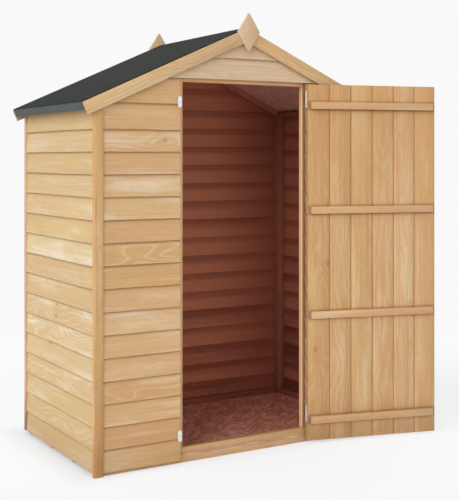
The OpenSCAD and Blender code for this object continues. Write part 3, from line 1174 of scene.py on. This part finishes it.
    def raise_wall(self, wall: LapWall, nail: bpy.types.Object) -> None:
        """Builds the boards and nails of one wall.

        Args:
            wall: The wall to clad.
            nail: The nail head that is copied.
        """
        models: dict[float, bpy.types.Object] = {}
        boards: list[bpy.types.Object] = []
        nails: list[bpy.types.Object] = []
        depth = 2 * self.board_t - self.board_t * self.nail_rise / (self.course + self.lap)
        for low, high in zip(wall.edges, wall.edges[1:]):
            height = round(high - low + (0.0 if high == wall.edges[-1] else self.lap), 6)
            if height not in models:
                models[height] = self.board(wall, height)
            board = Bench.copy(models[height], (0.0, 0.0, low))
            start, end = wall.start, wall.end
            if low + height > wall.apex - max(-start, end) * math.tan(PITCH):
                self.cut_to_roof(board, wall.apex)
                end = (wall.apex - low - self.nail_clear) / math.tan(PITCH)
                start = -end
            boards.append(board)
            nails += [Bench.copy(nail, (stud, -depth, low + self.nail_rise)) for stud in wall.studs
                      if start < stud < end]
        Bench.bin(list(models.values()))
        self.dress_wall(wall, boards, nails)

    def dress_wall(self, wall: LapWall, boards: Sequence[bpy.types.Object],
                   nails: Sequence[bpy.types.Object]) -> None:
        """Sets the boards and nails on their wall, and gives the boards waves and grain.

        Args:
            wall: The wall they belong to.
            boards: Its boards, still facing the front.
            nails: Its nails, still facing the front.
        """
        turn = Matrix.Translation((*wall.face, 0.0)) @ Matrix.Rotation(math.radians(wall.turn), 4, "Z")
        outward = np.array(turn.to_3x3() @ -BACK)

        clad = Bench.gather(wall.name, boards)
        Bench.settle(clad, turn)
        for size, swell in self.waves:
            Bench.ripple(clad, "lower_edge", size, swell)
        clad.vertex_groups.clear()
        Bench.smooth(clad)

        def looks_in(place: np.ndarray, normal: np.ndarray) -> np.ndarray:
            """Says that a board's inner faces look into the room."""
            return np.where(normal @ outward < self.inner_lean, Exposure.INDOORS.value, Exposure.OUTSIDE.value)

        self.grain.lay(clad, turn.to_3x3() @ SIDE, UP, looks_in, True)
        self.hand_over(clad, wall.finish, Body.SHED, wall.nodes)

        heads = Bench.gather(wall.name.replace("boards", "nails"), nails)
        Bench.settle(heads, turn)
        self.hand_over(heads, self.finishes.nail, Body.SHED)

    def build(self) -> None:
        """Clads all the walls."""
        nail = self.nail()
        for wall in self.walls():
            self.raise_wall(wall, nail)
        Bench.bin([nail])


@dataclass
class Framing(Assembly):
    """Posts and rails of the wall frames."""

    arris: float = 1.2 * MM
    room_tone: float = 0.78

    def build(self) -> None:
        """Makes the frame timbers."""
        finish = self.finishes.frame_timber
        for node in ("left_wall_posts", "right_wall_posts", "back_wall_posts", "front_corner_posts"):
            self.timber(node, finish, UP, SIDE, self.arris, self.room_tone)
        for node in ("left_wall_rails", "right_wall_rails"):
            self.timber(node, finish, BACK, UP, self.arris, self.room_tone)
        self.timber("back_wall_rail", finish, SIDE, UP, self.arris, self.room_tone)
        for side in ("left", "right"):
            along = self.slope(side)
            for end in ("front", "back"):
                self.timber(f"{end}_gable_rail_{side}", self.finishes.rafter_timber, along, along.cross(BACK),
                            self.arris, self.room_tone)

        def behind(place: np.ndarray, normal: np.ndarray) -> np.ndarray:
            """Says that only the faces at the back of the doorway's frame look into the room."""
            return np.where(normal[:, 1] > FACING, self.room_tone, Exposure.OUTSIDE.value)

        def highlit_and_shaded(place: np.ndarray, normal: np.ndarray) -> np.ndarray:
            """Says that the hinge post has a painted highlight in the doorway and painted shade in front, by
            the door's edge.

            Args:
                place: Points of the posts.
                normal: The way they face.

            Returns:
                The exposure of each point.
            """
            hinge = place[:, 0] > 0.0
            tone = np.where(hinge & (normal[:, 0] < -FACING), Exposure.PAINTED_HIGHLIGHT.value, behind(place, normal))
            return np.where(hinge & (normal[:, 1] < -FACING), Exposure.SHADED.value, tone)

        self.timber("door_posts", self.finishes.post_timber, UP, SIDE, self.arris, highlit_and_shaded)
        self.timber("door_sill", self.finishes.sill_timber, SIDE, UP, self.arris, behind)
        self.timber("door_header", self.finishes.post_timber, SIDE, UP, self.arris, behind)


@dataclass
class Base(Assembly):
    """Bearers on the ground and the strand-board floor."""

    arris: float = 1.5 * MM

    def build(self) -> None:
        """Makes the bearers and finishes the floor."""
        self.timber("floor_bearers", self.finishes.bearer_timber, SIDE, UP, self.arris)
        self.finishes.give(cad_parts["floor_sheet"], self.finishes.floor_board)
        LOG.info("floor_sheet: finished")


@dataclass
class Roof(Assembly):
    """Strand-board slopes under felt, eaves battens, bargeboards and finials."""

    felt_grid: float = 45 * MM
    felt_wave: float = 1.6 * MM
    felt_wave_size: float = 0.16
    felt_sink: float = 0.9
    felt_rim: float = 3 * MM
    felt_soft: float = math.radians(40)
    fold_round: float = 5 * MM
    fold_steps: int = 3
    fold_slack: float = 2 * MM
    arris: float = 1.6 * MM
    middle_y: float = 0.4

    def felt(self, side: str) -> None:
        """Lays the felt of one slope, folded over the eaves.

        Args:
            side: left or right.
        """
        node = f"roof_felt_{side}"
        low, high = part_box(node)
        eaves = low.x if side == "left" else high.x
        fold_z = high.z - abs(eaves) * math.tan(PITCH) - self.fold_slack
        piece = Bench.trace(node, f"felt_{side}")
        Bench.choose(piece, lambda a, b: abs(a.x - eaves) < MM and abs(b.x - eaves) < MM and
                     min(a.z, b.z) > fold_z)
        bpy.ops.mesh.bevel(offset=self.fold_round, segments=self.fold_steps)
        bpy.ops.object.mode_set(mode="OBJECT")
        for k in range(1, round((high.y - low.y) / self.felt_grid)):
            Bench.slice(piece, (0.0, low.y + k * self.felt_grid, 0.0), BACK)
        for k in range(1, round((high.x - low.x) / self.felt_grid)):
            Bench.slice(piece, (low.x + k * self.felt_grid, 0.0, 0.0), SIDE)
        swell = piece.vertex_groups.new(name="field")
        near, far = low.y + self.felt_rim, high.y - self.felt_rim
        swell.add([point.index for point in piece.data.vertices
                   if near < point.co.y < far and abs(point.co.x) > MM], 1.0, "REPLACE")
        Bench.ripple(piece, "field", self.felt_wave_size, self.felt_wave, self.felt_sink, layers=2)
        piece.vertex_groups.clear()
        Bench.smooth(piece, self.felt_soft)
        self.hand_over(piece, self.finishes.felt, Body.SHED, (node,))

    def build(self) -> None:
        """Makes both slopes and both ends of the roof."""

        def sheltered(place: np.ndarray, normal: np.ndarray) -> np.ndarray:
            """Says that a back bargeboard's inner face is in the shade of the eaves."""
            inner = (normal[:, 1] < -FACING) & (place[:, 1] > self.middle_y)
            return np.where(inner, Exposure.HALF_SHADE_AND_JOINTS.value, Exposure.OUTSIDE.value)

        for side in ("left", "right"):
            self.finishes.give(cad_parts[f"roof_sheet_{side}"], self.finishes.roof_board)
            LOG.info("roof_sheet_%s: finished", side)
            self.felt(side)
            self.timber(f"eaves_batten_{side}", self.finishes.frame_timber, BACK, UP, self.arris)
            along = self.slope(side)
            for end in ("front", "back"):
                self.timber(f"{end}_bargeboard_{side}", self.finishes.roof_trim, along, along.cross(BACK),
                            self.arris, sheltered)
        for end in ("front", "back"):
            self.timber(f"{end}_finial", self.finishes.finial, UP, SIDE, self.arris)


@dataclass
class CornerTrims(Assembly):
    """Upright trims at the four corners."""

    arris: float = 1.8 * MM

    def build(self) -> None:
        """Makes the trims."""
        for end, finish in (("front", self.finishes.trim), ("back", self.finishes.back_trim)):
            for side in ("left", "right"):
                self.timber(f"{end}_trim_{side}", finish, UP, SIDE, self.arris)


@dataclass
class DoorLeaf(Assembly):
    """The ledged door: upright boards and four ledges, hung open."""

    swing: float = math.radians(165)
    board_arris: float = 2.4 * MM
    ledge_arris: float = 1.5 * MM
    edge_lean: float = 0.95
    joint_lean: float = 0.2
    face_lean: float = 0.7

    def build(self) -> None:
        """Makes the boards and ledges."""
        along = Matrix.Rotation(self.swing, 3, "Z") @ SIDE

        def dark_joints_and_highlit_edges(place: np.ndarray, normal: np.ndarray) -> np.ndarray:
            """Says that the joints between the boards are dark and the leaf's edges carry a painted highlight.

            Args:
                place: Points of the boards.
                normal: The way they face.

            Returns:
                The exposure of each point.
            """
            lean = np.abs(normal @ np.array(along))
            joint = np.where(lean > self.joint_lean, Exposure.HALF_SHADE_AND_JOINTS.value, Exposure.OUTSIDE.value)
            return np.where(lean > self.edge_lean, Exposure.PAINTED_HIGHLIGHT.value, joint)

        edges = sorted({round(point.co.z, 4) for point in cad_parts["door_ledges"].data.vertices})
        middles = tuple((low + high) / 2 for low, high in zip(edges[::2], edges[1::2]))
        finish = replace(self.finishes.door, ledges=middles)
        boards = self.timber("door_boards", finish, UP, along, self.board_arris, dark_joints_and_highlit_edges, Body.DOOR)
        inward = UP.cross(along)
        inner = boards.data.attributes.new("inner", "FLOAT", "FACE")
        inner.data.foreach_set("value", [float(face.normal.dot(inward) > self.face_lean)
                                         for face in boards.data.polygons])
        self.timber("door_ledges", self.finishes.ledge, along, UP, self.ledge_arris, body=Body.DOOR)


@dataclass
class Ironmongery(Assembly):
    """Hinges and turn buttons."""

    def build(self) -> None:
        """Finishes the metal nodes of the frame."""
        zinc, white = self.finishes.zinc, self.finishes.white_zinc
        for node, finish in (("hinge_frame_leaves", zinc), ("hinge_door_leaves", zinc), ("button_screws", zinc),
                             ("turn_button_upper", white), ("turn_button_lower", white)):
            self.finishes.give(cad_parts[node], finish)
            LOG.info("%s: finished", node)


@dataclass(frozen=True)
class Lamp:
    """One broad lamp, far away."""

    name: str
    strength: float
    source: tuple[float, float, float]
    spread: float


@dataclass
class Studio:
    """Pale floor, soft light and the camera."""

    floor_size: float = 60.0
    floor_colour: Colour = shade(240, 247, 255)
    paper: Colour = (0.95, 0.95, 0.95, 1.0)
    floor_glow: Colour = (1.11, 1.11, 1.11, 1.0)
    floor_share: float = 0.64
    contact_shadow_share: float = 0.22
    footprint: tuple[float, float, float] = (0.74, -0.041, 0.803)
    contact_edge: tuple[float, float] = (-0.1, 0.18)
    front_edge: tuple[float, float] = (-0.18, 0.1)
    # Squares of the distances between which the floor fades
    fade: tuple[float, float] = (2.0, 16.0)
    sky: float = 0.38
    lamps: tuple[Lamp, ...] = (
        Lamp("side_window", 2.0, (-0.86, -0.30, 0.42), 60.0),
        Lamp("front_window", 0.6, (-0.25, -0.93, 0.27), 70.0),
        Lamp("back_window", 0.5, (0.66, 0.70, 0.28), 70.0))
    eye: tuple[float, float, float] = (-2.4430, -3.9717, 1.3233)
    heading: float = math.radians(30.925)
    lens: float = 73.995
    rise: float = -0.18158
    film: float = 36.0

    def floor(self) -> None:
        """Lays the floor, which fades into the background, with a painted contact shadow around the shed."""
        bpy.ops.object.select_all(action="DESELECT")
        bpy.ops.mesh.primitive_plane_add(size=self.floor_size)
        plane = bpy.context.object
        plane.name = "studio_floor"
        paint, made = Painter.material("studio_floor")
        side, back, _ = paint.place()
        half, front, rear = self.footprint
        # Painted contact shadow: near the shed's footprint and in front of it less of the even glow shows, so
        # the floor is darker there
        clear = (abs(side) - half).smooth(*self.contact_edge).most((back - rear).smooth(*self.contact_edge))
        clear = clear.most((front - back).smooth(*self.front_edge))
        far = (side * side + back * back).smooth(*self.fade)
        share = self.contact_shadow_share + clear * (self.floor_share - self.contact_shadow_share) + far * (1.0 - self.floor_share)
        matt = paint.node("ShaderNodeBsdfPrincipled", None, {"Base Color": self.floor_colour, "Roughness": 0.9,
                                                             "Specular IOR Level": 0.0})
        paper = paint.node("ShaderNodeEmission", None, {"Color": paint.mix(far, self.floor_glow, self.paper)})
        both = paint.node("ShaderNodeMixShader", None, {0: share * paint.seen(), 1: matt, 2: paper})
        paint.node("ShaderNodeOutputMaterial", None, {"Surface": both})
        plane.data.materials.append(made)
        LOG.info("studio_floor: laid")

    def light(self) -> None:
        """Sets the soft sky and three broad lamps: on the left, at the front and a weak one behind."""
        world = bpy.data.worlds.new("studio")
        bpy.context.scene.world = world
        world.use_nodes = True
        paint = Painter(world.node_tree)
        strength = self.sky + paint.seen() * (self.paper[0] - self.sky)
        sky = paint.node("ShaderNodeBackground", None, {"Color": (1.0, 1.0, 1.0, 1.0), "Strength": strength})
        paint.node("ShaderNodeOutputWorld", None, {"Surface": sky})
        for lamp in self.lamps:
            light = bpy.data.lights.new(lamp.name, "SUN")
            light.energy = lamp.strength
            light.angle = math.radians(lamp.spread)
            holder = bpy.data.objects.new(lamp.name, light)
            holder.rotation_euler = Vector(lamp.source).to_track_quat("Z", "Y").to_euler()
            bpy.context.scene.collection.objects.link(holder)

    def camera(self) -> None:
        """Sets the camera where the photograph was taken from."""
        eye = bpy.data.cameras.new("view")
        eye.lens = self.lens
        eye.sensor_width = self.film
        eye.shift_y = self.rise
        holder = bpy.data.objects.new("view", eye)
        holder.location = self.eye
        holder.rotation_euler = (math.pi / 2, 0.0, -self.heading)
        bpy.context.scene.collection.objects.link(holder)
        bpy.context.scene.camera = holder

    def build(self) -> None:
        """Sets up the whole studio."""
        self.floor()
        self.light()
        self.camera()
        bpy.context.scene.view_settings.view_transform = "Standard"


def main() -> None:
    """Builds the shed's looks in order."""
    logging.basicConfig(level=logging.INFO, format="%(name)s %(message)s")
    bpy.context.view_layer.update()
    bpy.ops.object.select_all(action="DESELECT")
    finishes, grain = Finishes(), Grain(seed=11)
    for assembly in (Base, Framing, Cladding, CornerTrims, Roof, DoorLeaf, Ironmongery):
        assembly(finishes, grain).build()
    Studio().build()


if __name__ == "__main__":
    main()
